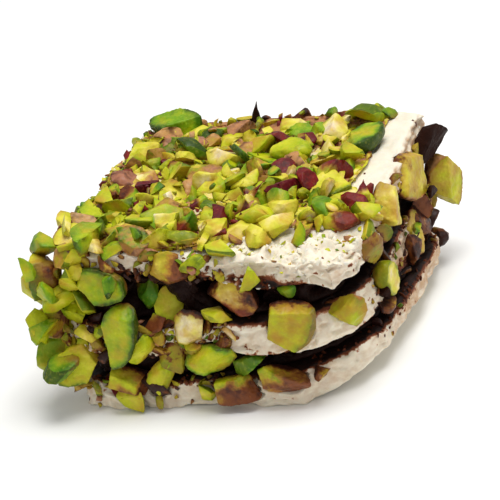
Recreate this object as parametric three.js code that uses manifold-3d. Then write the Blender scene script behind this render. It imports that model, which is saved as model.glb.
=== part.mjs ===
// One cut piece of layered Turkish delight: three sheets of white whipped nougat with chocolate cream between
// them, pressed in chopped pistachio. Millimetres, +Z up, front towards -Y. It lies on its flat underside.
import * as THREE from "three";
import { mergeVertices } from "three/addons/utils/BufferGeometryUtils.js";
import Module from "manifold-3d";

const wasm = await Module();
wasm.setup();

// ---------------------------------------------------------------- driving dimensions

const WIDTH = 44; // left to right, along X
const DEPTH = 47; // front to back, along Y
const LAYER_GAP = 0.3; // clearance between neighbouring solids
const OUTLINE_STEPS = 34; // points round each sheet's outline
const EDGE_STEPS = 4; // rows up each sheet's half-round edge
const INNER_ROW = 0.6; // reach of the one row between a sheet's middle and its edge
const EDGE_ROUND = 0.9; // how far a soft sheet's edges draw in from its widest line
const CREAM_RECESS = 1.3; // how far the chocolate cream lies back from the nougat's cut edge
const CRUST_THICKNESS = 1.2; // the pressed coat of fine pistachio on top
const CRUST_RELIEF = 0.3; // how far the coat's top rises and falls
const BIG_REACH = 200; // side of a cutting block, larger than any piece
const POCKET_RADIUS = 1.26; // an icosahedron of this radius just holds a ball of radius 1

// Height of each interface above the underside: three stations from left to right, along the front and back.
const LEVELS = {
  bottomNougat: { front: [4.7, 4.6, 6.9], back: [4.8, 5.0, 6.4] },
  lowerCream: { front: [8.0, 8.4, 8.5], back: [7.4, 7.8, 8.6] },
  middleNougat: { front: [13.8, 13.4, 15.0], back: [12.8, 13.4, 14.2] },
  upperCream: { front: [21.0, 19.4, 17.2], back: [17.6, 18.0, 18.6] },
  topNougat: { front: [24.6, 23.6, 21.4], back: [22.2, 21.8, 23.2] },
};

// Plan of each sheet: distances from the middle of the piece, and its corner radii from the front left
// round to the back left. The crust stops short of the right-hand edge, where a strip of nougat is bare.
const PLANS = {
  bottom: { left: 21.8, right: 22.6, front: 22.6, back: 22.3, corners: [3, 16, 9, 5], wave: 0.35, phase: 0.4 },
  middle: { left: 22.8, right: 21.4, front: 22.8, back: 23.2, corners: [3, 11, 4, 5], wave: 0.45, phase: 2.1 },
  top: { left: 22.6, right: 21.4, front: 21.8, back: 24.2, corners: [4, 3, 3, 4], wave: 0.4, phase: 3.9 },
  crust: { left: 21.8, right: 16.4, front: 20.4, back: 23.6, corners: [4, 3, 3, 4], wave: 0.6, phase: 1.2 },
};

// The underside lifts off the table towards the right-hand end.
const LIFT = { start: 8, height: 3.4 };

// ---------------------------------------------------------------- materials

const nougat = new THREE.MeshStandardMaterial({ name: "nougat", color: 0xeee8d8, roughness: 0.6 });
const cream = new THREE.MeshStandardMaterial({ name: "chocolate_cream", color: 0x2a120b, roughness: 0.4 });
const pistachio = new THREE.MeshStandardMaterial({ name: "pistachio", color: 0x9aa928, roughness: 0.55 });

// ---------------------------------------------------------------- helpers

const smooth = (t) => {
  const c = Math.min(1, Math.max(0, t));
  return c * c * (3 - 2 * c);
};

// A repeatable number from 0 to 1 for each whole-number seed.
function chance(seed) {
  const s = Math.sin(seed * 12.9898 + 4.1414) * 43758.5453;
  return s - Math.floor(s);
}

// Height of an interface: a curve through its three stations across X, eased from front to back.
function level({ front, back }) {
  const across = ([a, b, c], s) => b + ((c - a) / 2) * s + ((a + c) / 2 - b) * s * s;
  return (x, y) => {
    const s = Math.min(1, Math.max(-1, x / (WIDTH / 2)));
    const t = smooth(y / DEPTH + 0.5);
    const ripple = 0.25 * Math.sin(0.31 * x + 0.9) * Math.cos(0.27 * y - 0.4);
    return across(front, s) * (1 - t) + across(back, s) * t + ripple;
  };
}

// A sheet's outline, drawn in by inset, with slow waves where the knife pulled the soft sheet.
function outline(plan, inset) {
  const [frontLeft, frontRight, backRight, backLeft] = plan.corners;
  const [x0, x1, y0, y1] = [-plan.left + inset, plan.right - inset, -plan.front + inset, plan.back - inset];
  const shape = new THREE.Shape();
  shape.absarc(x1 - frontRight, y0 + frontRight, frontRight, -Math.PI / 2, 0);
  shape.absarc(x1 - backRight, y1 - backRight, backRight, 0, Math.PI / 2);
  shape.absarc(x0 + backLeft, y1 - backLeft, backLeft, Math.PI / 2, Math.PI);
  shape.absarc(x0 + frontLeft, y0 + frontLeft, frontLeft, Math.PI, 1.5 * Math.PI);
  shape.closePath();
  return shape
    .getSpacedPoints(OUTLINE_STEPS)
    .slice(0, OUTLINE_STEPS)
    .map((p, i) => {
      const turn = (2 * Math.PI * i) / OUTLINE_STEPS;
      const pull = plan.wave * (Math.sin(5 * turn + plan.phase) + 0.7 * Math.sin(11 * turn + 2 * plan.phase));
      return p.clone().multiplyScalar(1 + pull / p.length());
    });
}

// A closed sheet between two height surfaces. Rows run from the middle of the underside, out round the soft
// edge, and back to the middle of the top.
function sheet(points, floor, roof, edge) {
  const rows = [[INNER_ROW, 0, 0]];
  for (let k = 0; k <= EDGE_STEPS; k++) {
    const a = -Math.PI / 2 + (Math.PI * k) / EDGE_STEPS;
    rows.push([1, 0.5 + 0.5 * Math.sin(a), edge * (1 - Math.cos(a))]);
  }
  rows.push([INNER_ROW, 1, 0]);
  const count = points.length;
  const positions = [];
  const add = (x, y, share) => positions.push(x, y, floor(x, y) + share * (roof(x, y) - floor(x, y)));
  for (const [reach, share, drawn] of rows)
    for (const p of points) {
      const scale = reach * (1 - drawn / p.length());
      add(p.x * scale, p.y * scale, share);
    }
  const [underside, crown] = [rows.length * count, rows.length * count + 1];
  add(0, 0, 0);
  add(0, 0, 1);
  const faces = [];
  for (let i = 0; i < count; i++) {
    const next = (i + 1) % count;
    for (let r = 0; r + 1 < rows.length; r++) {
      const [a, b] = [r * count + i, r * count + next];
      faces.push(a, b, b + count, a, b + count, a + count);
    }
    const last = (rows.length - 1) * count;
    faces.push(underside, next, i, crown, last + i, last + next);
  }
  const geometry = new THREE.BufferGeometry();
  geometry.setAttribute("position", new THREE.Float32BufferAttribute(positions, 3));
  geometry.setIndex(faces);
  return geometry;
}

function toSolid(geometry) {
  const bare = new THREE.BufferGeometry();
  bare.setAttribute("position", geometry.getAttribute("position").clone());
  if (geometry.index) bare.setIndex(geometry.index.clone());
  const merged = mergeVertices(bare, 1e-4);
  const vertProperties = new Float32Array(merged.getAttribute("position").array);
  const triVerts = new Uint32Array(merged.index.array);
  return new wasm.Manifold(new wasm.Mesh({ numProp: 3, vertProperties, triVerts }));
}

function toGeometry(solid) {
  const mesh = solid.getMesh();
  const geometry = new THREE.BufferGeometry();
  geometry.setAttribute("position", new THREE.Float32BufferAttribute(Array.from(mesh.vertProperties), 3));
  geometry.setIndex(Array.from(mesh.triVerts));
  return geometry;
}

// ---------------------------------------------------------------- chopped pistachio

// How a kernel is chopped: each cut is a plane's direction, and its place as a share of the kernel's radius.
const CHOPS = {
  half: [[0, 0, 1, 0.15], [0.9, 0.2, -0.1, 0.85]],
  block: [[1, 0.1, 0.1, 0.45], [-1, 0.2, 0, 0.5], [0.1, 0, 1, 0.55], [0, 1, 0.2, 0.7]],
  slice: [[0.1, 0, 1, 0.4], [0, 0.1, -1, 0.45], [0.8, 0.5, 0, 0.8]],
  wedge: [[0.9, 0.3, 0.4, 0.4], [-0.7, 0.6, 0.3, 0.5], [-0.2, -0.9, 0.4, 0.5], [0, 0.1, 1, 0.6]],
};

// A kernel of the given radius cut flat by each of its chops, which waver a little from piece to piece.
function chop(kernel, cuts, seed) {
  let solid = toSolid(kernel);
  cuts.forEach(([x, y, z, place], i) => {
    const waver = 0.3 * (chance(seed * 7 + i) - 0.5);
    const direction = new THREE.Vector3(x + waver, y - waver, z + 0.5 * waver).normalize();
    const block = new THREE.BoxGeometry(BIG_REACH, BIG_REACH, BIG_REACH);
    block.translate(0, 0, BIG_REACH / 2 + place);
    block.applyQuaternion(new THREE.Quaternion().setFromUnitVectors(new THREE.Vector3(0, 0, 1), direction));
    solid = solid.subtract(toSolid(block));
  });
  return toGeometry(solid);
}

// A chopped piece with its own length, width and thickness, centred on the origin, and the simpler pocket
// that it leaves in the sheets round it.
function choppedPiece(style, size, seed) {
  const piece = chop(new THREE.IcosahedronGeometry(1, 1), CHOPS[style], seed);
  const pocket = chop(new THREE.IcosahedronGeometry(POCKET_RADIUS, 0), CHOPS[style], seed);
  piece.computeBoundingBox();
  const span = piece.boundingBox.getSize(new THREE.Vector3()).toArray();
  const centre = piece.boundingBox.getCenter(new THREE.Vector3());
  for (const [geometry, gap] of [[piece, 0], [pocket, LAYER_GAP]]) {
    geometry.translate(-centre.x, -centre.y, -centre.z);
    geometry.scale(...size.map((s, i) => (s + 2 * gap) / span[i]));
  }
  return { piece, pocket };
}

// Large pieces, face by face. at: place on the face, across from the middle of the block and up from its
// underside. size: length, width and thickness. turn: degrees about the face's normal. sink: share of the
// thickness pressed into the face.
const LARGE_PIECES = {
  front: [
    { at: [-16.2, 20.0], chop: "half", size: [8.8, 4.8, 3.2], turn: -6 },
    { at: [-13.4, 12.6], chop: "half", size: [9.4, 4.8, 3.8], turn: 70 },
    { at: [-21.0, 7.8], chop: "block", size: [6.0, 5.2, 4.0], turn: 14 },
    { at: [-15.0, 4.6], chop: "block", size: [6.2, 4.2, 3.4], turn: -4 },
    { at: [-9.2, 5.2], chop: "slice", size: [6.4, 3.0, 2.0], turn: 56 },
    { at: [-5.2, 21.8], chop: "wedge", size: [5.6, 4.6, 3.2], turn: 20 },
    { at: [-3.2, 13.0], chop: "wedge", size: [5.6, 5.0, 3.0], turn: 40 },
    { at: [-1.0, 8.4], chop: "half", size: [7.0, 4.2, 3.2], turn: 4 },
    { at: [3.0, 17.2], chop: "half", size: [8.0, 4.6, 3.6], turn: -12, sink: 0.75 },
    { at: [2.0, 3.4], chop: "block", size: [6.0, 4.2, 3.0], turn: 8 },
    { at: [11.8, 13.2], chop: "block", size: [7.4, 6.6, 3.6], turn: 74 },
    { at: [8.8, 4.6], chop: "half", size: [7.4, 4.4, 3.2], turn: -10 },
    { at: [18.8, 13.2], chop: "wedge", size: [6.0, 4.4, 3.0], turn: -24 },
  ],
  right: [
    { at: [-3.0, 20.2], chop: "block", size: [5.8, 5.4, 3.6], turn: 30 },
    { at: [9.4, 19.0], chop: "block", size: [6.8, 6.0, 4.0], turn: -22 },
    { at: [20.2, 12.4], chop: "half", size: [9.2, 5.4, 4.8], turn: 76, sink: 0.25 },
    { at: [-9.0, 12.6], chop: "half", size: [6.2, 3.6, 3.0], turn: -58 },
    { at: [7.0, 11.2], chop: "slice", size: [6.2, 4.2, 2.6], turn: 82 },
  ],
  back: [
    { at: [12.0, 12.0], chop: "half", size: [9.0, 5.2, 3.8], turn: 34 },
    { at: [4.0, 5.6], chop: "block", size: [6.4, 5.4, 3.4], turn: -16 },
    { at: [-2.6, 14.8], chop: "wedge", size: [7.0, 5.2, 3.4], turn: 62 },
    { at: [-12.6, 8.4], chop: "half", size: [8.6, 5.0, 3.6], turn: -28 },
  ],
  left: [
    { at: [-19.8, 20.2], chop: "half", size: [7.0, 5.4, 5.2], turn: 66, sink: 0.16 },
    { at: [-19.0, 13.0], chop: "block", size: [6.0, 5.2, 5.2], turn: 20, sink: 0.14 },
    { at: [-5.6, 7.0], chop: "block", size: [6.6, 5.0, 3.4], turn: -12 },
    { at: [4.0, 14.6], chop: "wedge", size: [6.8, 5.2, 3.4], turn: 24 },
    { at: [13.6, 7.4], chop: "half", size: [8.6, 4.8, 3.6], turn: -40 },
  ],
  top: [
    { at: [-19.0, 11.6], chop: "wedge", size: [7.4, 5.8, 3.4], turn: 52 },
    { at: [-15.2, 1.2], chop: "wedge", size: [5.8, 5.2, 2.8], turn: -30 },
    { at: [-16.8, 20.2], chop: "half", size: [7.8, 4.8, 3.6], turn: -14 },
    { at: [13.0, -2.6], chop: "block", size: [6.2, 5.2, 3.0], turn: 28 },
    { at: [15.0, 11.6], chop: "half", size: [7.0, 4.2, 2.8], turn: 64 },
  ],
};

// ---------------------------------------------------------------- the sheets

const bottomNougat = level(LEVELS.bottomNougat);
const lowerCream = level(LEVELS.lowerCream);
const middleNougat = level(LEVELS.middleNougat);
const upperCream = level(LEVELS.upperCream);
const topNougat = level(LEVELS.topNougat);

const underside = (x) => LIFT.height * smooth((x - LIFT.start) / (PLANS.bottom.right - LIFT.start)) ** 2;

function crustTop(x, y) {
  return topNougat(x, y) + CRUST_THICKNESS + CRUST_RELIEF * Math.sin(0.9 * x) * Math.sin(0.8 * y + 1);
}

const SHEETS = [
  { name: "nougat_bottom", material: nougat, plan: PLANS.bottom, inset: 0, roof: bottomNougat },
  { name: "cream_lower", material: cream, plan: PLANS.bottom, inset: CREAM_RECESS, roof: lowerCream },
  { name: "nougat_middle", material: nougat, plan: PLANS.middle, inset: 0, roof: middleNougat },
  { name: "cream_upper", material: cream, plan: PLANS.middle, inset: CREAM_RECESS, roof: upperCream },
  { name: "nougat_top", material: nougat, plan: PLANS.top, inset: 0, roof: topNougat },
  { name: "pistachio_crust", material: pistachio, plan: PLANS.crust, inset: 0, roof: crustTop },
];

// ---------------------------------------------------------------- placing the large pieces

// The sheet whose edge a piece is pressed into, by its height on the side of the block.
function planAt(z) {
  if (z < LEVELS.lowerCream.front[1]) return PLANS.bottom;
  return z < LEVELS.upperCream.front[2] ? PLANS.middle : PLANS.top;
}

const FACES = {
  front: { normal: [0, -1, 0], place: (u, v) => [u, -planAt(v).front + cornerDrop(u, planAt(v)), v] },
  back: { normal: [0, 1, 0], place: (u, v) => [u, planAt(v).back, v] },
  right: { normal: [1, 0, 0], place: (u, v) => [planAt(v).right, u, v] },
  left: { normal: [-1, 0, 0], place: (u, v) => [-planAt(v).left, u, v] },
  top: { normal: [0, 0, 1], place: (u, v) => [u, v, crustTop(u, v)] },
};

// How far the rounded front right corner draws back from the front at x.
function cornerDrop(x, plan) {
  const radius = plan.corners[1];
  const into = Math.max(0, x - (plan.right - radius));
  return radius - Math.sqrt(Math.max(0, radius * radius - into * into));
}

function pieceMatrix(face, { at, turn, size, sink = 0.5 }) {
  const { normal, place } = FACES[face];
  const outward = new THREE.Vector3(...normal);
  const upward = face === "top" ? new THREE.Vector3(0, 1, 0) : new THREE.Vector3(0, 0, 1);
  const across = new THREE.Vector3().crossVectors(upward, outward);
  const centre = new THREE.Vector3(...place(...at)).addScaledVector(outward, size[2] * (0.5 - sink));
  return new THREE.Matrix4()
    .makeBasis(across, upward, outward)
    .multiply(new THREE.Matrix4().makeRotationZ(THREE.MathUtils.degToRad(turn)))
    .setPosition(centre);
}

const pieces = [];
for (const [face, list] of Object.entries(LARGE_PIECES))
  list.forEach((entry, i) => {
    const matrix = pieceMatrix(face, entry);
    const { piece, pocket } = choppedPiece(entry.chop, entry.size, pieces.length + 1);
    const name = `pistachio_${face}_${String(i + 1).padStart(2, "0")}`;
    pieces.push({ name, geometry: piece, matrix, pocket: toSolid(pocket.applyMatrix4(matrix)) });
  });

// ---------------------------------------------------------------- assembly

const delight = new THREE.Group();

// Each sheet lies just clear of the one below it, and is cut away round every large piece.
let below = underside;
for (const { name, material, plan, inset, roof } of SHEETS) {
  const rest = below;
  const floor = (x, y) => rest(x, y) + (rest === underside ? 0 : LAYER_GAP);
  const edge = material === pistachio ? CRUST_THICKNESS / 2 : EDGE_ROUND;
  let solid = toSolid(sheet(outline(plan, inset), floor, roof, edge));
  for (const { pocket } of pieces) {
    if (solid.intersect(pocket).volume() > 0) solid = solid.subtract(pocket);
  }
  const mesh = new THREE.Mesh(toGeometry(solid), material);
  mesh.name = name;
  delight.add(mesh);
  below = roof;
}

for (const { name, geometry, matrix } of pieces) {
  const mesh = new THREE.Mesh(geometry, pistachio);
  mesh.name = name;
  mesh.applyMatrix4(matrix);
  delight.add(mesh);
}

// The origin is the middle of the bounding box, on the table.
const middle = new THREE.Box3().setFromObject(delight).getCenter(new THREE.Vector3());
delight.position.set(-middle.x, -middle.y, 0);

export default delight;
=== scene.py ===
import math
import random
from collections import namedtuple

import bmesh
import bpy
import numpy as np
from mathutils import Matrix, Vector, kdtree, noise
from mathutils.bvhtree import BVHTree


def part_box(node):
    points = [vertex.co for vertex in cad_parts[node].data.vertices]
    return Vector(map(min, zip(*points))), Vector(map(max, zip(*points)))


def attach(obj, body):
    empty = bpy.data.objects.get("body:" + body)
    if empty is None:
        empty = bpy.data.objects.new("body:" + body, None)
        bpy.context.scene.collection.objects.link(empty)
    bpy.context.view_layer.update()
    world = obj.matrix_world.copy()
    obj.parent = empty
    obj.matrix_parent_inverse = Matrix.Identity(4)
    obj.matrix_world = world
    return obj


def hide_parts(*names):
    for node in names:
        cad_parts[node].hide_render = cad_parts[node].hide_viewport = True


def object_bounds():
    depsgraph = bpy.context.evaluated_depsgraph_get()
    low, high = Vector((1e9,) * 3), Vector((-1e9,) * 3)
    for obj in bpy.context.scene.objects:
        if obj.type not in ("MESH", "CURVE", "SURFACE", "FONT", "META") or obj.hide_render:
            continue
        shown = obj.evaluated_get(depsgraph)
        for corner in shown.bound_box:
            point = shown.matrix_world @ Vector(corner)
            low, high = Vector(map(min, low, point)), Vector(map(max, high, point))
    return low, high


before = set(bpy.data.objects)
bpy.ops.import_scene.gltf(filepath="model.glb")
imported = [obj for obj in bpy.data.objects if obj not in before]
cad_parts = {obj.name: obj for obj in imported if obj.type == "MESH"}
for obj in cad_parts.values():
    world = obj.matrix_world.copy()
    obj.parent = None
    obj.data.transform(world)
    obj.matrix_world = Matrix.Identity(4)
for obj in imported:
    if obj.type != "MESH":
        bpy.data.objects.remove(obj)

scene = bpy.context.scene
cad_low, cad_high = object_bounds()


# ---------------------------------------------------------------- table, light and camera
# A plain white table top that runs out of view, one large soft light overhead and a weak one from the front.
# The camera looks down on the front of the block, tipped so that the right-hand end rises.

VIEW_AZIMUTH = math.radians(22)
VIEW_ELEVATION = math.radians(26)
VIEW_ROLL = math.radians(-12)
VIEW_DISTANCE = 0.45
VIEW_WIDTH = 0.072
SKY = 0.48
TABLE_SIZE = 3
LIGHT_AIM = Vector((0, 0, 0.01))


def srgb(red, green, blue):
    """A colour picked as screen values from 0 to 255, as the linear colour that a shader takes."""
    def linear(c):
        c /= 255
        return c / 12.92 if c <= 0.04045 else ((c + 0.055) / 1.055) ** 2.4
    return (linear(red), linear(green), linear(blue), 1)


def new_material(name, roughness, specular):
    """A material with its shader, ready for more nodes."""
    material = bpy.data.materials.new(name)
    material.use_nodes = True
    shader = material.node_tree.nodes["Principled BSDF"]
    shader.inputs["Roughness"].default_value = roughness
    shader.inputs["Specular IOR Level"].default_value = specular
    return material, shader


table_mesh = bpy.data.meshes.new("table_top")
bm = bmesh.new()
bmesh.ops.create_grid(bm, x_segments=1, y_segments=1, size=TABLE_SIZE)
bm.to_mesh(table_mesh)
bm.free()
table = bpy.data.objects.new("table_top", table_mesh)
scene.collection.objects.link(table)
table_paint, shader = new_material("table_paint", 0.8, 0.3)
shader.inputs["Base Color"].default_value = srgb(250, 250, 248)
table_mesh.materials.append(table_paint)

for name, place, size, power in [
    ("key_light", (0.1, 0.0, 0.54), 0.3, 2.55),
    ("fill_light", (0.3, -0.5, 0.3), 0.4, 0.03),
]:
    lamp = bpy.data.lights.new(name, "AREA")
    lamp.size = size
    lamp.energy = power
    light = bpy.data.objects.new(name, lamp)
    light.location = place
    light.rotation_euler = (LIGHT_AIM - light.location).to_track_quat("-Z", "Y").to_euler()
    scene.collection.objects.link(light)

world = bpy.data.worlds.new("studio")
world.use_nodes = True
sky = world.node_tree.nodes["Background"]
sky.inputs["Color"].default_value = (1, 1, 1, 1)
sky.inputs["Strength"].default_value = SKY
scene.world = world
scene.view_settings.view_transform = "Standard"

backward = Vector((
    math.sin(VIEW_AZIMUTH) * math.cos(VIEW_ELEVATION),
    -math.cos(VIEW_AZIMUTH) * math.cos(VIEW_ELEVATION),
    math.sin(VIEW_ELEVATION),
))
level_right = Vector((math.cos(VIEW_AZIMUTH), math.sin(VIEW_AZIMUTH), 0))
level_up = backward.cross(level_right)
right = math.cos(VIEW_ROLL) * level_right + math.sin(VIEW_ROLL) * level_up
up = backward.cross(right)
camera_data = bpy.data.cameras.new("camera")
camera_data.lens = camera_data.sensor_width * VIEW_DISTANCE / VIEW_WIDTH
camera_data.clip_start = 0.01
camera = bpy.data.objects.new("camera", camera_data)
placing = Matrix((right, up, backward)).transposed().to_4x4()
placing.translation = (cad_low + cad_high) / 2 + backward * VIEW_DISTANCE
camera.matrix_world = placing
scene.collection.objects.link(camera)
scene.camera = camera


# ---------------------------------------------------------------- the nougat sheets
# Three sheets of white whipped nougat, matt, cut with a knife that dragged and tore their edges and smeared
# cream over them. Each follows the frame's sheet, with finer lips, waves and lumps. It is stained caramel at
# the right-hand end, and crumbled and dusted with nut meal where the top tore.
# The lighter caramel tint over all of its upright faces is painted shade.

MM = 0.001
TAU = 2 * math.pi
NOUGAT_VOXEL = 0.26 * MM
EDGE_WAVE_REACH = 5 * MM
EDGE_LIP_REACH = 2.2 * MM
SCALLOP_LENGTH = 10.5
CRUMB_HEIGHT = 1.6
SMEAR_REACH = 6.0

# Each sheet, with its noise seed, how strongly its edges are torn, and how far its front lip hangs, in mm.
NOUGAT = [
    ("nougat_bottom", 11.0, 0.8, 0.0),
    ("nougat_middle", 23.0, 1.0, 0.3),
    ("nougat_top", 37.0, 1.0, 1.1),
]


def soft(t):
    """An eased step from 0 to 1."""
    t = min(1.0, max(0.0, t))
    return t * t * (3 - 2 * t)


def cad_copy(node):
    """A frame node's mesh as a bmesh with its loose triangles merged."""
    bm = bmesh.new()
    bm.from_mesh(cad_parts[node].data)
    bmesh.ops.remove_doubles(bm, verts=bm.verts, dist=0.001 * MM)
    return bm


def even_mesh(bm, voxel):
    """The same closed shape with small even faces all over, as a new bmesh."""
    mesh = bpy.data.meshes.new("even")
    bm.to_mesh(mesh)
    bm.free()
    blank = bpy.data.objects.new("even", mesh)
    scene.collection.objects.link(blank)
    remesh = blank.modifiers.new("even", "REMESH")
    remesh.mode = "VOXEL"
    remesh.voxel_size = voxel
    ready = blank.evaluated_get(bpy.context.evaluated_depsgraph_get()).to_mesh()
    even = bmesh.new()
    even.from_mesh(ready)
    bpy.data.objects.remove(blank)
    bpy.data.meshes.remove(mesh)
    return even


def smooth_out(verts, bm, factor, times):
    """Moves points towards their neighbours, by a share of the way each time."""
    for _ in range(times):
        bmesh.ops.smooth_vert(bm, verts=verts, factor=factor,
                              use_axis_x=True, use_axis_y=True, use_axis_z=True)


def edge_share(p, low, high, reach):
    """1 at a sheet's cut edge, easing to 0 at the given distance in from it."""
    inside = min(p.x - low.x, high.x - p.x, p.y - low.y, high.y - p.y)
    return 1 - soft(inside / reach)


def torn_share(p):
    """1 on the torn patch at the front right corner of the top sheet, easing to 0 round it."""
    wander = 1.6 * noise.noise(Vector((p.x, p.y, 0)) / MM * 0.35) * MM
    across = soft((p.x + wander - 3 * MM) / (2.5 * MM))
    along = soft((wander + 0.2 * p.x - 15.5 * MM - p.y) / (2.5 * MM))
    return across * along


def tear_edges(bm, low, high, seed, strength, droop):
    """Waves, lips, lumps and pits along a sheet's cut edges. The front lip hangs in scallops by droop mm."""
    shift = Vector((seed, 2 * seed, 3 * seed))
    bm.normal_update()
    moves = []
    for v in bm.verts:
        p = v.co / MM + shift
        n = v.normal
        side = 1 - abs(n.z)
        wide = edge_share(v.co, low, high, EDGE_WAVE_REACH)
        near = edge_share(v.co, low, high, EDGE_LIP_REACH)
        wave = 0.75 * noise.noise(Vector((p.x * 0.2, p.y * 0.2, seed))) * wide
        wave += 0.45 * noise.noise(Vector((p.x * 0.55, p.y * 0.55, seed + 7))) * wide
        lip = 0.8 * soft((abs(n.z) - 0.1) / 0.4) - 0.5
        lip *= near * (0.75 + 0.8 * noise.noise(Vector((p.x * 0.3, p.y * 0.3, seed))))
        out = Vector((n.x, n.y, 0))
        if out.length > 0:
            out.normalize()
        front = 1 - soft((v.co.y - low.y) / (3 * MM))
        under = soft(0.45 - n.z)
        scallop = 0.3 + 0.7 * math.sin(v.co.x / MM * TAU / SCALLOP_LENGTH + 2.6 + 1.5 * noise.noise(p * 0.08))
        wave -= droop * front * under * scallop
        drag = Vector((p.x * 0.42, p.y * 0.42, p.z * 0.75))
        lumps = 0.5 * noise.noise(drag) * side
        lumps += 0.34 * noise.noise(drag * 2.3) * (0.25 + 0.75 * side)
        lumps += 0.2 * noise.noise(p * 2.1) * (0.3 + 0.7 * side)
        lumps += 0.1 * noise.noise(p * 4.3) * (0.4 + 0.6 * side)
        lumps -= 0.6 * side * soft((noise.noise(drag * 1.4 + shift) - 0.28) * 4)
        moves.append((v, ((n * lumps + out * lip) * strength + Vector((0, 0, wave))) * MM))
    for v, move in moves:
        v.co += move


def crumble_top(bm):
    """Coarse crumbs and pits where the top sheet tore away with its nuts."""
    bm.normal_update()
    for v in bm.verts:
        share = torn_share(v.co) * max(0.0, v.normal.z + 0.6)
        if share > 0:
            p = v.co / MM
            gaps = noise.voronoi(p * 0.5)[0]
            small = noise.voronoi(p * 1.2)[0]
            crumb = 0.8 * (0.45 - gaps[0]) + 0.25 * (0.4 - small[0]) + 0.4 * noise.noise(p * 0.4)
            v.co += v.normal * crumb * CRUMB_HEIGHT * share * MM


def keep_on_table(bm):
    """Nothing reaches below the flat underside."""
    for v in bm.verts:
        v.co.z = max(v.co.z, cad_low.z)


def add_node(tree, kind, settings=None, **sockets):
    """A new node. settings are its own options. sockets are its inputs, each given by its name or by its
    number after a low line, and each set to a number or a colour, or fed by another node's output."""
    node = tree.nodes.new(kind)
    for option, value in (settings or {}).items():
        setattr(node, option, value)
    for socket, value in sockets.items():
        slot = node.inputs[int(socket[1:]) if socket[1:].isdigit() else socket.replace("_", " ")]
        if isinstance(value, bpy.types.NodeSocket):
            tree.links.new(value, slot)
        else:
            slot.default_value = value
    return node


def mix(tree, factor, first, second):
    """The colour that lies between two others, by the factor."""
    node = add_node(tree, "ShaderNodeMix", {"data_type": "RGBA"}, _0=factor, _6=first, _7=second)
    return node.outputs[2]


def speckle(tree, place, scale, detail=4.0):
    """Cloudy noise around 0.5."""
    return add_node(tree, "ShaderNodeTexNoise", Vector=place, Scale=scale, Detail=detail).outputs["Fac"]


def map_range(tree, value, low, high, start, end):
    """A value moved from one range to another, and kept inside it."""
    return add_node(tree, "ShaderNodeMapRange", Value=value, _1=low, _2=high, _3=start, _4=end).outputs[0]


def combine(tree, operation, first, second):
    """Two values put together by a sum, a product or a comparison."""
    return add_node(tree, "ShaderNodeMath", {"operation": operation}, _0=first, _1=second).outputs[0]


def roughen(tree, shader, height, strength, depth, rough_low, rough_high):
    """Fine bumps, and a roughness that changes with them."""
    bump = add_node(tree, "ShaderNodeBump", Height=height, Strength=strength, Distance=depth)
    tree.links.new(bump.outputs["Normal"], shader.inputs["Normal"])
    tree.links.new(map_range(tree, height, 0.3, 0.7, rough_low, rough_high), shader.inputs["Roughness"])


ragged_edge = bpy.data.node_groups.new("ragged_edge", "ShaderNodeTree")
for name, kind in [("Place", "NodeSocketVector"), ("Amount", "NodeSocketFloat"), ("Scale", "NodeSocketFloat"),
                   ("Start", "NodeSocketFloat"), ("End", "NodeSocketFloat")]:
    ragged_edge.interface.new_socket(name, in_out="INPUT", socket_type=kind)
ragged_edge.interface.new_socket("Mask", in_out="OUTPUT", socket_type="NodeSocketFloat")
given = add_node(ragged_edge, "NodeGroupInput").outputs
patches = add_node(ragged_edge, "ShaderNodeTexNoise", Vector=given["Place"], Scale=given["Scale"], Detail=5.0,
                   Roughness=0.62)
total = combine(ragged_edge, "ADD", given["Amount"], patches.outputs["Fac"])
cut_off = add_node(ragged_edge, "ShaderNodeMapRange", {"interpolation_type": "SMOOTHSTEP"},
                   Value=total, _1=given["Start"], _2=given["End"])
add_node(ragged_edge, "NodeGroupOutput", Mask=cut_off.outputs[0])


def ragged(tree, place, amount, scale, start, end):
    """A mask with ragged edges, from an amount between 0 and 1."""
    node = add_node(tree, "ShaderNodeGroup", {"node_tree": ragged_edge}, Place=place, Amount=amount,
                    Scale=scale, Start=start, End=end)
    return node.outputs["Mask"]


nougat_material, shader = new_material("nougat", 0.6, 0.3)
tree = nougat_material.node_tree
shader.inputs["Subsurface Weight"].default_value = 0.3
shader.inputs["Subsurface Radius"].default_value = (1.0, 0.8, 0.55)
shader.inputs["Subsurface Scale"].default_value = 0.7 * MM
place = add_node(tree, "ShaderNodeTexCoord").outputs["Object"]
marks = add_node(tree, "ShaderNodeAttribute", {"attribute_name": "marks"})
split = add_node(tree, "ShaderNodeSeparateColor", Color=marks.outputs["Color"])
smear, meal, stain_and_side_shade = split.outputs[0], split.outputs[1], split.outputs[2]
colour = mix(tree, speckle(tree, place, 260.0), srgb(244, 238, 222), srgb(232, 222, 198))
# Caramel stains, and the same caramel tint as painted shade on every upright face, then smeared cream from
# its thin edge to its thick middle, and nut meal over both.
for amount, scale, start, end, tint in [
    (stain_and_side_shade, 420.0, 0.4, 1.4, srgb(196, 158, 120)),
    (smear, 1000.0, 0.86, 1.0, srgb(168, 108, 70)),
    (smear, 1000.0, 0.98, 1.08, srgb(108, 52, 24)),
    (smear, 600.0, 1.2, 1.4, srgb(30, 11, 6)),
    (meal, 1400.0, 0.95, 1.2, srgb(196, 192, 92)),
]:
    colour = mix(tree, ragged(tree, place, amount, scale, start, end), colour, tint)
tree.links.new(colour, shader.inputs["Base Color"])
roughen(tree, shader, speckle(tree, place, 900.0), 0.5, 0.3 * MM, 0.5, 0.8)


def ray_tree(bm):
    """A tree for finding where rays meet a bmesh, which is used up."""
    tree = BVHTree.FromBMesh(bm)
    bm.free()
    return tree


cream_trees = [ray_tree(cad_copy(node)) for node in ("cream_lower", "cream_upper")]


def cream_distance(point):
    """Distance in mm to the nearest cream, up to the farthest that smears can reach."""
    found = [tree.find_nearest(point, SMEAR_REACH * MM)[3] for tree in cream_trees]
    return min([SMEAR_REACH] + [distance / MM for distance in found if distance is not None])


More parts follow.
